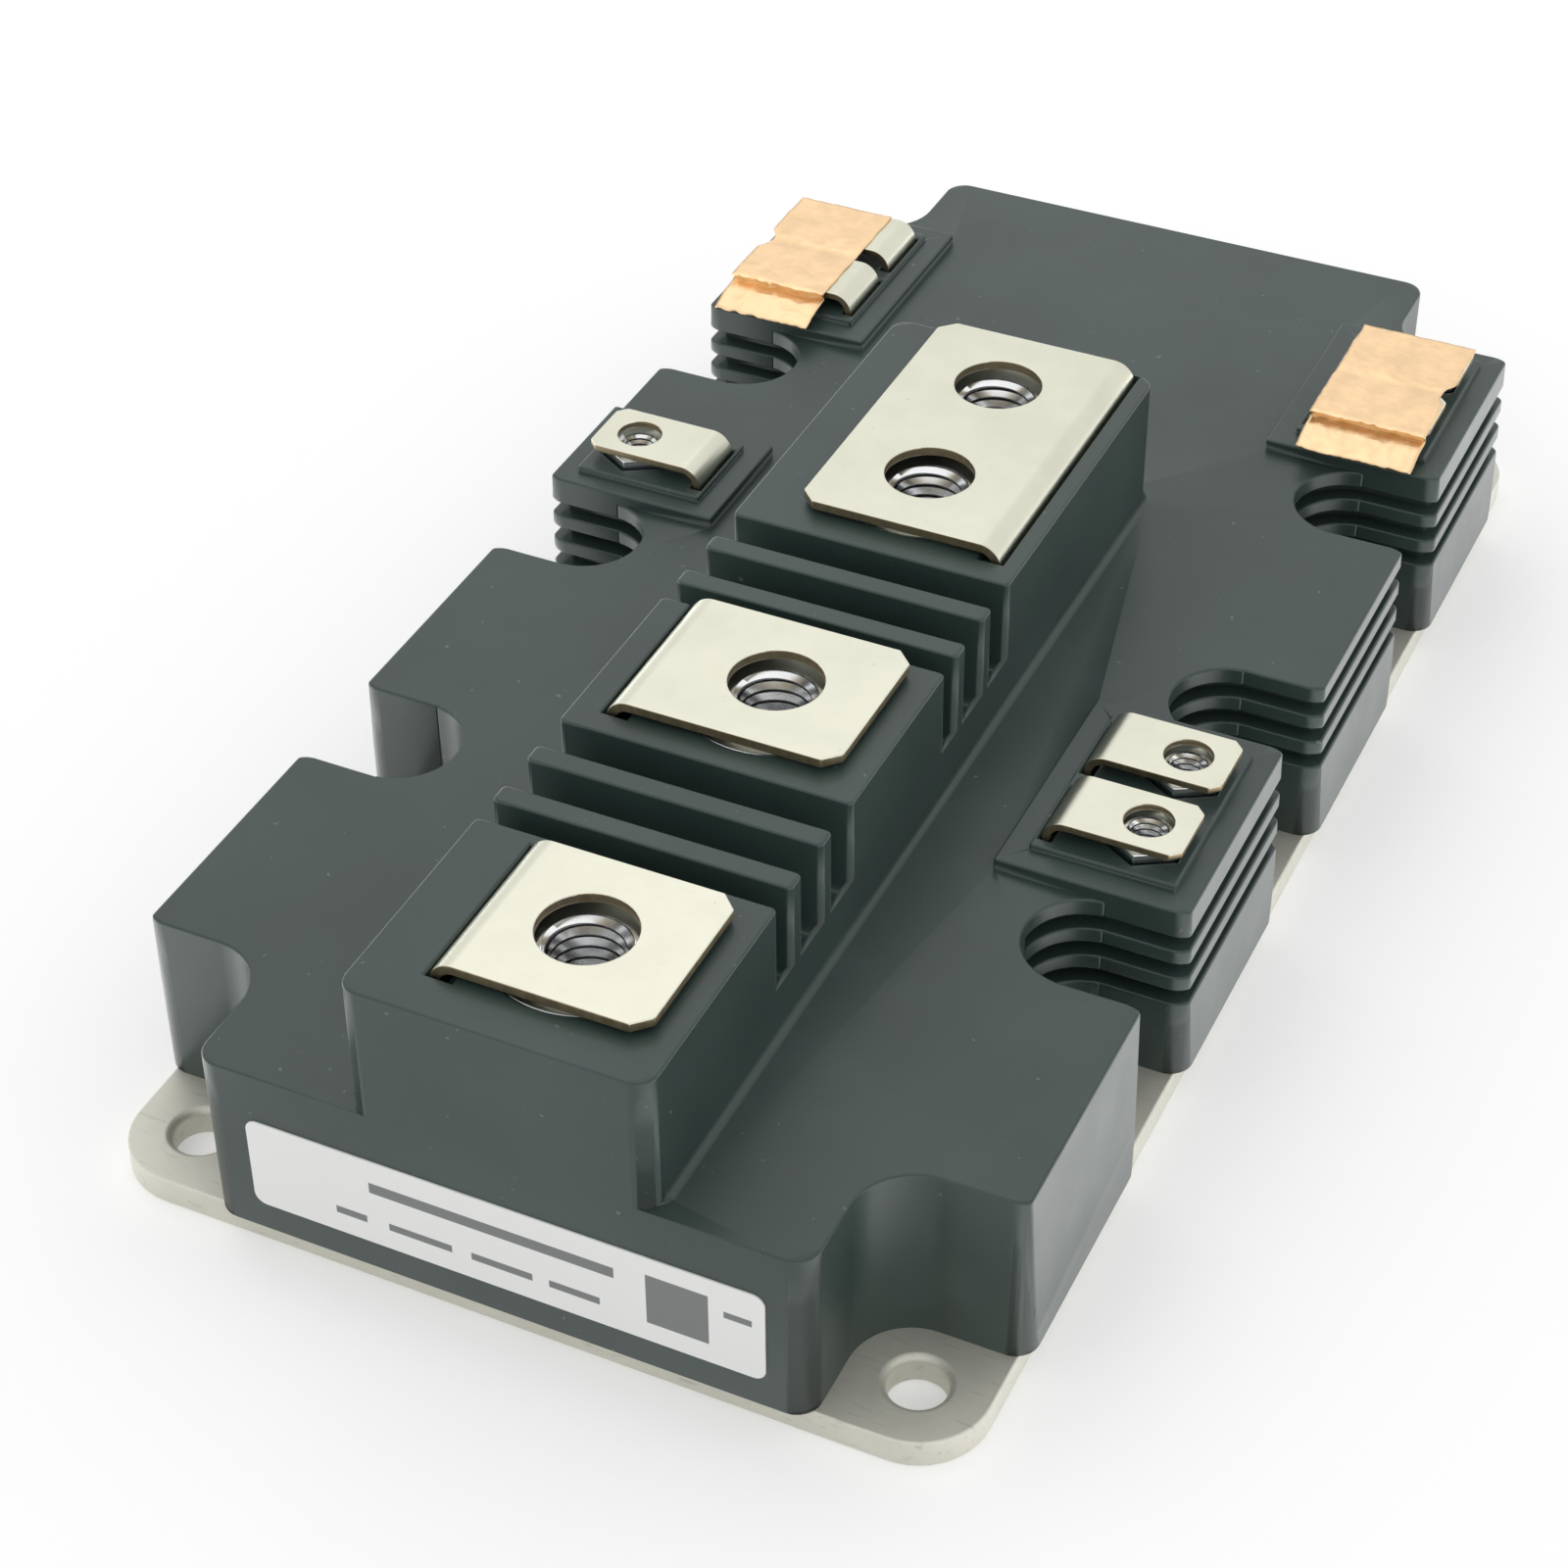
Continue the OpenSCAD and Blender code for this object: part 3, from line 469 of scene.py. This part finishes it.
def flat_regions(bm):
    """Groups of faces that share one plane, and single faces with many corners."""
    neighbours = {face: [] for face in bm.faces if len(face.verts) > 4}
    for edge in bm.edges:
        if len(edge.link_faces) == 2 and edge.calc_face_angle(0.0) < SAME_PLANE:
            first, second = edge.link_faces
            neighbours.setdefault(first, []).append(second)
            neighbours.setdefault(second, []).append(first)
    seen = set()
    for start in neighbours:
        if start in seen:
            continue
        seen.add(start)
        region = [start]
        for face in region:
            for other in neighbours[face]:
                if other not in seen:
                    seen.add(other)
                    region.append(other)
        yield region


def mark_flat_regions(bm):
    """Numbers the parts of each flat region, and keeps a point and normal of its plane."""
    layer = bm.faces.layers.int.new("flat region")
    planes = {}
    for number, region in enumerate(list(flat_regions(bm)), 1):
        largest = max(region, key=lambda face: face.calc_area())
        planes[number] = (largest.verts[0].co.copy(), largest.normal.copy())
        for face in region:
            face[layer] = number
    return planes


def refill_flat_regions(bm, planes):
    """Fills each flat region afresh, because rounding can fold the edges that split it."""
    layer = bm.faces.layers.int["flat region"]
    regions = {number: [] for number in planes}
    for face in bm.faces:
        if face[layer]:
            point, normal = planes[face[layer]]
            if all(abs((vert.co - point).dot(normal)) < ON_PLANE for vert in face.verts):
                regions[face[layer]].append(face)
    for number, region in regions.items():
        inside = set(region)
        edges = {edge for face in region for edge in face.edges}
        border = {edge for edge in edges if sum(other in inside for other in edge.link_faces) == 1}
        bmesh.ops.delete(bm, geom=region, context="FACES_ONLY")
        bmesh.ops.delete(bm, geom=list(edges - border), context="EDGES_FACES")
        fill_flat(bm, [edge for edge in border if edge.is_valid], *planes[number])


def crossings(spot, segments):
    """How many segments a ray from a spot to the right crosses."""
    count = 0
    for start, end in segments:
        if (start.y > spot.y) != (end.y > spot.y):
            along = (spot.y - start.y) / (end.y - start.y)
            count += start.x + along * (end.x - start.x) > spot.x
    return count


def fill_flat(bm, border, point, normal):
    """Fills the inside of closed borders on one plane, and leaves their holes open."""
    turn = normal.to_track_quat("Z", "Y").to_matrix()
    verts = list({vert for edge in border for vert in edge.verts})
    index = {vert: number for number, vert in enumerate(verts)}
    flat = [((vert.co - point) @ turn).xy / MM for vert in verts]
    pairs = [tuple(index[vert] for vert in edge.verts) for edge in border]
    segments = [(flat[start], flat[end]) for start, end in pairs]
    places, _, faces, origins, _, _ = delaunay_2d_cdt(flat, pairs, [], FILL_INSIDE, FILL_LIMIT)
    strength = bm.faces.layers.int[FACE_STRENGTH]
    corners = [verts[origin[0]] if origin
               else bm.verts.new(point + turn @ Vector((*place, 0.0)) * MM)
               for place, origin in zip(places, origins)]
    for face in faces:
        middle = sum((places[number] for number in face), Vector((0.0, 0.0))) / len(face)
        if crossings(middle, segments) % 2:
            bm.faces.new([corners[number] for number in face])[strength] = STRONG


def keep_within(bm, low, high):
    """Draws rounding that overshot a shallow corner back to the solid's box."""
    for vert in bm.verts:
        for axis in range(3):
            vert.co[axis] = min(max(vert.co[axis], low[axis]), high[axis])


def piece(name, bm, materials, node):
    """Turns a mesh into a smooth-shaded piece that stands for a CAD node."""
    for face in bm.faces:
        face.smooth = True
    mesh = bpy.data.meshes.new(name)
    bm.to_mesh(mesh)
    bm.free()
    for material in materials:
        mesh.materials.append(material)
    made = bpy.data.objects.new(name, mesh)
    bpy.context.scene.collection.objects.link(made)
    mesh.set_sharp_from_angle(angle=SHARP_SHADING)
    weighted = made.modifiers.new("even normals", "WEIGHTED_NORMAL")
    weighted.keep_sharp = True
    weighted.use_face_influence = FACE_STRENGTH in mesh.attributes
    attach(made, BODY)
    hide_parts(node)
    return made


def finish_node(node, material):
    """Gives a CAD node that stays as it is its own finish."""
    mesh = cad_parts[node].data
    mesh.materials.clear()
    mesh.materials.append(material)


# Pieces

def make_housing():
    low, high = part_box("housing")
    bm = whole_faces("housing")
    seen = [edge for edge in sharp_edges(bm)
            if edge.is_convex and max(vert.co.z for vert in edge.verts) > low.z + FOOT_EDGE]
    planes = mark_flat_regions(bm)
    round_edges(bm, settings("housing").edge_radius, chosen=seen)
    keep_within(bm, low, high)
    refill_flat_regions(bm, planes)
    piece("moulded_housing", bm, [moulded_plastic()], "housing")


def make_base_plate():
    chosen = settings("sheet")
    bm = whole_faces("base_plate")
    round_edges(bm, chosen.plate_edge_radius)
    nickel = plated("plate_nickel", chosen.plate, chosen.plate_roughness, chosen.plate_scuffs,
                    chosen.plate_metal)
    piece("plated_base_plate", bm, [nickel], "base_plate")


def mark_cut_faces(bm, top, thickness):
    """Gives the second material to the faces that the punch left."""
    for face in bm.faces:
        middle = face.calc_center_median()
        flat_part = middle.z > top - thickness
        sideways = abs(face.normal.y) > 0.75
        if sideways or (flat_part and abs(face.normal.z) < 0.3):
            face.material_index = 1


def make_sheet_terminal(node, materials):
    chosen = settings("sheet")
    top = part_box(node)[1].z
    thickness = chosen.main_thickness if node in MAIN_TERMINALS else chosen.control_thickness
    bm = whole_faces(node)
    round_edges(bm, chosen.edge_radius)
    mark_cut_faces(bm, top, thickness)
    piece(f"plated_{node}", bm, materials, node)


def sheet_materials(name):
    chosen = settings("sheet")
    return [plated(name, chosen.nickel, chosen.nickel_roughness), punched_edge()]


def add_thread(bm, axis, bottom, top, crest_r, root_r, pitch, sides):
    """Adds a right-hand inner thread with a lead-in cone at both ends."""
    turns = math.ceil((top - bottom) / pitch) + 2
    rows = []
    for turn in range(turns):
        for along, depth in THREAD_STEPS:
            row = []
            for side in range(sides):
                angle = 2 * math.pi * side / sides
                z = bottom + (turn - 1 + along + side / sides) * pitch
                z = min(max(z, bottom), top)
                cone_r = root_r - min(z - bottom, top - z)
                radius = max(crest_r + depth * (root_r - crest_r), cone_r)
                row.append(bm.verts.new((axis.x + radius * math.cos(angle),
                                         axis.y + radius * math.sin(angle), z)))
            rows.append(row)
    for low in range(len(rows) - len(THREAD_STEPS) - 1):
        for side in range(sides):
            last = side == sides - 1
            after = 0 if last else side + 1
            lift = len(THREAD_STEPS) if last else 0
            corners = (rows[low][side], rows[low + 1][side],
                       rows[low + 1 + lift][after], rows[low + lift][after])
            # Roots and crests take the darker zinc copy as painted shade
            bm.faces.new(corners).material_index = int(low % len(THREAD_STEPS) in PAINTED_SHADE_STEPS)


def islands(bm):
    """The separate solids of a mesh, each a list of vertices."""
    left = set(bm.verts)
    while left:
        stack = [left.pop()]
        found = list(stack)
        while stack:
            for edge in stack.pop().link_edges:
                for vert in edge.verts:
                    if vert in left:
                        left.remove(vert)
                        found.append(vert)
                        stack.append(vert)
        yield found


def make_nuts(node, name, nominal_r, crest_r, pitch, materials):
    chosen = settings("nuts")
    bm = whole_faces(node)
    solids = []
    for verts in islands(bm):
        low = Vector([min(v.co[i] for v in verts) for i in range(3)])
        high = Vector([max(v.co[i] for v in verts) for i in range(3)])
        solids.append((verts, (low + high) / 2, low.z, high.z))
    bores = []
    for verts, axis, _, _ in solids:
        inside = {v for v in verts if (v.co.xy - axis.xy).length < nominal_r + 0.05 * MM}
        bores += [face for face in {f for v in inside for f in v.link_faces}
                  if all(v in inside for v in face.verts)]
    bmesh.ops.delete(bm, geom=bores, context="FACES")
    round_edges(bm, chosen.edge_radius)
    for _, axis, bottom, top in solids:
        add_thread(bm, axis, bottom, top, crest_r, nominal_r, pitch, chosen.sides)
    bmesh.ops.remove_doubles(bm, verts=bm.verts, dist=SAME_POINT / 2)
    piece(name, bm, materials, node)


def foil_path(low, high, thickness):
    """The foil from its far end over the tabs, down and out over the platform: y, z."""
    top = high.z - thickness
    fold = low.y + FLAP_LENGTH
    folded = [(fold + past * MM, top - below * MM) for past, below in FOLD_STEPS]
    return [(high.y, top), *folded, (low.y, low.z + FOIL_END)]


def along_path(path, distance):
    """The point at a distance along a line of points, or its end."""
    for start, end in zip(path, path[1:]):
        step = math.dist(start, end)
        if distance <= step:
            share_of_step = distance / step
            return (start[0] + (end[0] - start[0]) * share_of_step,
                    start[1] + (end[1] - start[1]) * share_of_step)
        distance -= step
    return path[-1]


def creases(x, y, seed):
    """Height of the foil's creases, from 0 to about 1."""
    spot = Vector((x / MM * 0.28, y / MM * 0.28, seed))
    soft = 0.5 + 0.5 * noise.noise(spot)
    ridge = 1 - min(1.0, abs(noise.noise(spot * 1.9 + Vector((4.0, 0.0, 0.0)))) * 5)
    return soft * 0.6 + ridge * 0.5


def foil_point(chosen, low, high, path, along, across):
    """A point of the foil, along it and across it, both from 0 to 1."""
    total = sum(math.dist(start, end) for start, end in zip(path, path[1:]))
    outer_side = 1 if low.x > 0 else -1
    seed = low.x / MM
    x = low.x + (high.x - low.x) * across
    ragged = noise.noise(Vector((x / MM * 0.9, 3.0, seed))) * chosen.end_wave
    y, z = along_path(path, total * along - ragged * along ** 4)
    outward = across if outer_side > 0 else 1 - across
    notch = chosen.notch * math.exp(-((y - NOTCH_Y) / NOTCH_HALF) ** 4)
    wander = noise.noise(Vector((7.0, y / MM * 0.4, across * 2))) * chosen.side_wave
    x -= outer_side * (notch * outward ** 3) - wander
    sag = chosen.sag * math.exp(-((y - NOTCH_Y) / SAG_HALF) ** 2)
    creased = 1.0 if y < path[FLAP_START][0] else 0.45
    z += chosen.crease * creased * creases(x, y, seed) - sag
    return x, y, z


def make_foil(node, name, material):
    """A thin creased sheet with a notch in its outer edge and an uneven end."""
    chosen = settings("foils")
    low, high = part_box(node)
    high.y += chosen.overlap
    if low.x > 0:
        low.x -= chosen.overlap
        high.x += chosen.overlap
    else:
        high.x += 1.5 * chosen.overlap
    path = foil_path(low, high, chosen.thickness)
    bm = bmesh.new()
    grid = [[bm.verts.new(foil_point(chosen, low, high, path, row / FOIL_ROWS, column / FOIL_COLUMNS))
             for column in range(FOIL_COLUMNS + 1)] for row in range(FOIL_ROWS + 1)]
    for near, far in zip(grid, grid[1:]):
        for column in range(FOIL_COLUMNS):
            bm.faces.new((near[column], far[column], far[column + 1], near[column + 1]))
    bm.normal_update()
    if bm.faces[:][0].normal.z < 0:
        bmesh.ops.reverse_faces(bm, faces=bm.faces[:])
    made = piece(name, bm, [material], node)
    solid = made.modifiers.new("thickness", "SOLIDIFY")
    solid.thickness = chosen.thickness
    solid.offset = 1.0


def make_stage():
    chosen = settings("stage")
    scene = bpy.context.scene
    scene.view_settings.view_transform = "Standard"
    make_floor(chosen)
    make_sky(chosen)
    make_key_lamp(chosen)
    make_camera(chosen)


def make_floor(chosen):
    half = chosen.floor_size / 2
    mesh = bpy.data.meshes.new("floor")
    corners = [(-half, -half, 0), (half, -half, 0), (half, half, 0), (-half, half, 0)]
    mesh.from_pydata(corners, [], [(0, 1, 2, 3)])
    floor = bpy.data.objects.new("floor", mesh)
    floor.location.z = -chosen.floor_drop
    bpy.context.scene.collection.objects.link(floor)
    finish = Finish("pale_floor", Base_Color=chosen.floor_colour, Roughness=1.0,
                    Specular_IOR_Level=0.0, Emission_Color=(1.0, 1.0, 1.0))
    across = finish.node("ShaderNodeSeparateXYZ", None, {"Vector": finish.place}, "X")
    glossy = finish.node("ShaderNodeLightPath", output="Is Glossy Ray")
    glow = abs(across).between(chosen.glow_start, chosen.glow_full) * glossy * chosen.side_glow
    finish.set("Emission Strength", finish.seen_rays() * chosen.floor_glow + glow)
    mesh.materials.append(finish.material)


def make_sky(chosen):
    world = bpy.data.worlds.new("studio")
    bpy.context.scene.world = world
    world.use_nodes = True
    graph = Graph(world.node_tree)
    background = graph.tree.nodes.new("ShaderNodeBackground")
    output = graph.tree.nodes.new("ShaderNodeOutputWorld")
    graph.tree.links.new(background.outputs[0], output.inputs[0])
    strength = graph.seen_rays() * (1 - chosen.sky) + chosen.sky
    graph.feed(background.inputs["Strength"], strength)
    graph.feed(background.inputs["Color"], (1.0, 1.0, 1.0))


def make_key_lamp(chosen):
    lamp = bpy.data.lights.new("soft key", "AREA")
    lamp.shape = "RECTANGLE"
    lamp.size = chosen.key_width
    lamp.size_y = chosen.key_depth
    lamp.energy = chosen.key_power
    key = bpy.data.objects.new("soft key", lamp)
    bpy.context.scene.collection.objects.link(key)
    place = Vector(chosen.key_place)
    key.matrix_world = Matrix.Translation(place) @ place.to_track_quat("Z", "Y").to_matrix().to_4x4()


def make_camera(chosen):
    camera = bpy.data.cameras.new("camera")
    camera.sensor_width = 36.0
    camera.lens = chosen.focal_length
    camera.clip_start = 0.01
    camera.clip_end = 20.0
    viewer = bpy.data.objects.new("camera", camera)
    bpy.context.scene.collection.objects.link(viewer)
    flat = math.cos(chosen.elevation)
    ahead = Vector((-math.sin(chosen.azimuth) * flat, math.cos(chosen.azimuth) * flat,
                    -math.sin(chosen.elevation)))
    right = Vector((math.cos(chosen.azimuth), math.sin(chosen.azimuth), 0.0))
    up = right.cross(ahead)
    turned_right = right * math.cos(chosen.roll) + up * math.sin(chosen.roll)
    turned_up = up * math.cos(chosen.roll) - right * math.sin(chosen.roll)
    axes = Matrix((turned_right, turned_up, -ahead)).transposed().to_4x4()
    viewer.matrix_world = Matrix.Translation(Vector(chosen.target) - ahead * chosen.distance) @ axes
    bpy.context.scene.camera = viewer


# Operators

class DressHousing(bpy.types.Operator):
    """Rounds the housing's edges and gives it its moulded surface"""

    bl_idname = "power_module.housing"
    bl_label = "Housing"

    def execute(self, context):
        make_housing()
        return {"FINISHED"}


class DressBasePlate(bpy.types.Operator):
    """Rounds the base plate's edges and plates it"""

    bl_idname = "power_module.base_plate"
    bl_label = "Base Plate"

    def execute(self, context):
        make_base_plate()
        return {"FINISHED"}


class DressMainTerminals(bpy.types.Operator):
    """Rounds and plates the three main terminals"""

    bl_idname = "power_module.main_terminals"
    bl_label = "Main Terminals"

    def execute(self, context):
        materials = sheet_materials("main_terminal_nickel")
        for node in MAIN_TERMINALS:
            make_sheet_terminal(node, materials)
        return {"FINISHED"}


class DressControlTerminals(bpy.types.Operator):
    """Rounds and plates the control terminals"""

    bl_idname = "power_module.control_terminals"
    bl_label = "Control Terminals"

    def execute(self, context):
        materials = sheet_materials("control_terminal_nickel")
        for node in CONTROL_TERMINALS:
            make_sheet_terminal(node, materials)
        return {"FINISHED"}


class DressNuts(bpy.types.Operator):
    """Threads and plates the nuts under the terminals"""

    bl_idname = "power_module.nuts"
    bl_label = "Nuts"

    def execute(self, context):
        chosen = settings("nuts")
        # The second finish is a darker copy of the zinc: painted shade for the threads' roots and
        # crests
        materials = [zinc_plate("nut_steel", chosen.zinc),
                     zinc_plate("thread_painted_shade", tint(chosen.zinc, chosen.painted_thread_shade))]
        make_nuts("m8_nuts", "threaded_m8_nuts", chosen.main_r, chosen.main_crest_r,
                  chosen.main_pitch, materials)
        make_nuts("m4_nuts", "threaded_m4_nuts", chosen.small_r, chosen.small_crest_r,
                  chosen.small_pitch, materials)
        return {"FINISHED"}


class DressFoils(bpy.types.Operator):
    """Lays the creased copper foils over the far control terminals"""

    bl_idname = "power_module.foils"
    bl_label = "Foils"

    def execute(self, context):
        material = copper()
        make_foil("left_foil", "creased_left_foil", material)
        make_foil("right_foil", "creased_right_foil", material)
        return {"FINISHED"}


class DressLabel(bpy.types.Operator):
    """Gives the label its film with plain printed fields"""

    bl_idname = "power_module.label"
    bl_label = "Label"

    def execute(self, context):
        finish_node("label", printed_film())
        return {"FINISHED"}


CIRCUIT_FINISHES = (
    ("busbar_insulator", ("insulating_sheet", (0.79, 0.73, 0.58), 0.06, 3 * MM, 0.5)),
    ("substrate_", ("substrate_ceramic", (0.86, 0.85, 0.82), 0.04, 1 * MM, 0.55)),
    ("copper_tracks_", ("track_copper", (0.72, 0.40, 0.25), 0.12, 2 * MM, 0.35)),
    ("igbt_chips_", ("igbt_silicon", (0.22, 0.23, 0.27), 0.1, 1.5 * MM, 0.2)),
    ("diode_chips_", ("diode_silicon", (0.16, 0.17, 0.19), 0.1, 1.5 * MM, 0.2)),
    ("bond_wires_", ("wire_aluminium", (0.80, 0.81, 0.83), 0.06, 0.5 * MM, 0.3)),
    ("thermistor", ("sensor_ceramic", (0.16, 0.08, 0.05), 0.15, 0.5 * MM, 0.6)),
    ("gel_fill", ("silicone_gel", (0.75, 0.79, 0.79), 0.03, 5 * MM, 0.2)),
)


class DressCircuit(bpy.types.Operator):
    """Gives the pieces inside the housing their finishes"""

    bl_idname = "power_module.circuit"
    bl_label = "Circuit"

    def execute(self, context):
        for start, finish in CIRCUIT_FINISHES:
            metal = 1.0 if finish[0] in ("track_copper", "wire_aluminium") else 0.0
            material = plain(*finish, Metallic=metal)
            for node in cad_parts:
                if node.startswith(start):
                    finish_node(node, material)
        return {"FINISHED"}


class SetStage(bpy.types.Operator):
    """Adds the camera, the floor and the light"""

    bl_idname = "power_module.stage"
    bl_label = "Stage"

    def execute(self, context):
        make_stage()
        return {"FINISHED"}


OPERATORS = (DressHousing, DressBasePlate, DressMainTerminals, DressControlTerminals, DressNuts,
             DressFoils, DressLabel, DressCircuit, SetStage)


class PowerModulePanel(bpy.types.Panel):
    """Sidebar panel with one button for each group of pieces"""

    bl_idname = "VIEW3D_PT_power_module"
    bl_label = "Power Module"
    bl_space_type = "VIEW_3D"
    bl_region_type = "UI"
    bl_category = "Power Module"

    def draw(self, context):
        for operator in OPERATORS:
            self.layout.operator(operator.bl_idname)
        for group, owner in SETTINGS.items():
            box = self.layout.box()
            box.label(text=group.title())
            for name in owner.__annotations__:
                box.prop(settings(group), name)


def register():
    for group, owner in SETTINGS.items():
        bpy.utils.register_class(owner)
        setattr(bpy.types.Scene, f"power_module_{group}", PointerProperty(type=owner))
    for owner in (*OPERATORS, PowerModulePanel):
        bpy.utils.register_class(owner)


def unregister():
    for owner in reversed((*OPERATORS, PowerModulePanel)):
        bpy.utils.unregister_class(owner)
    for group, owner in reversed(SETTINGS.items()):
        delattr(bpy.types.Scene, f"power_module_{group}")
        bpy.utils.unregister_class(owner)


def main():
    register()
    for operator in OPERATORS:
        area, name = operator.bl_idname.split(".")
        getattr(getattr(bpy.ops, area), name)()
    bpy.context.view_layer.update()


if __name__ == "__main__":
    main()
